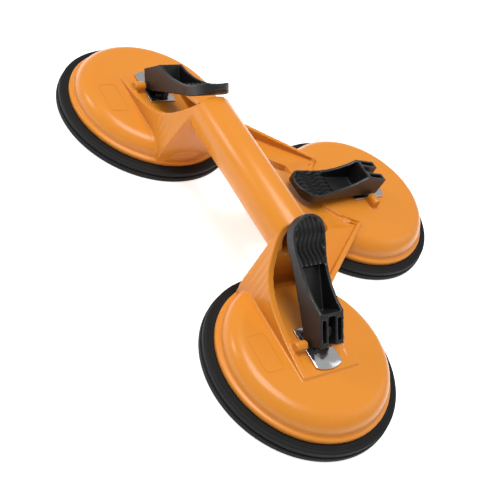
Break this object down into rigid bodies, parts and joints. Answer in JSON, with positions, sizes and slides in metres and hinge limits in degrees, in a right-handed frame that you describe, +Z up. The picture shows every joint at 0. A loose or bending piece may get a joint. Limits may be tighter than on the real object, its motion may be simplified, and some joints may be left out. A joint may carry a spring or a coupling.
{
  "type": "vacuum cup lifter",
  "caption": "Hand lifter for glass and slabs: suction cups in a triangle under a tube handle, each cup locked by its own cam lever.",
  "frame": {"origin": "on the sealing plane, at the centre of the lifter's bounding box", "axes": "+X along the handle from the left cup to the right cup, +Y from the handle towards the rear cup, +Z up from the glass"},
  "size_m": [0.324, 0.228, 0.0732],
  "materials": {
    "orange_powder_coat": "semi-gloss powder coat on cast aluminium",
    "black_plastic": "moulded, satin black",
    "cup_rubber": "matt moulded rubber",
    "bright_steel": "bright, lightly brushed stainless steel",
    "dark_steel": "black-oxide steel",
    "zinc_steel": "zinc plated steel"
  },
  "bodies": {
    "root": {"handle_tube": "orange_powder_coat", "left_brace": "orange_powder_coat", "right_brace": "orange_powder_coat", "left_bracket": "orange_powder_coat", "left_cover_disc": "orange_powder_coat", "left_suction_pad": "cup_rubber", "left_wear_plate": "bright_steel", "right_bracket": "orange_powder_coat", "right_cover_disc": "orange_powder_coat", "right_suction_pad": "cup_rubber", "right_wear_plate": "bright_steel", "rear_bracket": "orange_powder_coat", "rear_cover_disc": "orange_powder_coat", "rear_suction_pad": "cup_rubber", "rear_wear_plate": "bright_steel"},
    "left_stud": {"left_draw_stud": "dark_steel", "left_backing_plate": "zinc_steel", "left_pivot_pin": "dark_steel"},
    "left_lever": {"left_lever": "black_plastic"},
    "right_stud": {"right_draw_stud": "dark_steel", "right_backing_plate": "zinc_steel", "right_pivot_pin": "dark_steel"},
    "right_lever": {"right_lever": "black_plastic"},
    "rear_stud": {"rear_draw_stud": "dark_steel", "rear_backing_plate": "zinc_steel", "rear_pivot_pin": "dark_steel"},
    "rear_lever": {"rear_lever": "black_plastic"}
  },
  "joints": [
    {"name": "left_stud_slide", "type": "slide", "parent": "root", "child": "left_stud", "axis": [0, 0, -1], "range_m": [0, 0.0015], "deforming": ["left_suction_pad"]},
    {"name": "left_lever_hinge", "type": "hinge", "parent": "left_stud", "child": "left_lever", "pos_m": [-0.102, -0.054, 0.0344], "axis": [0, -1, 0], "range_deg": [0, 52]},
    {"name": "right_stud_slide", "type": "slide", "parent": "root", "child": "right_stud", "axis": [0, 0, -1], "range_m": [0, 0.0015], "deforming": ["right_suction_pad"]},
    {"name": "right_lever_hinge", "type": "hinge", "parent": "right_stud", "child": "right_lever", "pos_m": [0.102, -0.054, 0.0344], "axis": [0, 1, 0], "range_deg": [0, 52]},
    {"name": "rear_stud_slide", "type": "slide", "parent": "root", "child": "rear_stud", "axis": [0, 0, -1], "range_m": [0, 0.0006], "deforming": ["rear_suction_pad"]},
    {"name": "rear_lever_hinge", "type": "hinge", "parent": "rear_stud", "child": "rear_lever", "pos_m": [0, 0.054, 0.0344], "axis": [-1, 0, 0], "range_deg": [0, 87]}
  ],
  "couplings": [
    {"joint": "left_lever_hinge", "follows": "left_stud_slide", "rad_per_m": 604},
    {"joint": "right_lever_hinge", "follows": "right_stud_slide", "rad_per_m": 604},
    {"joint": "rear_lever_hinge", "follows": "rear_stud_slide", "rad_per_m": 2530}
  ]
}
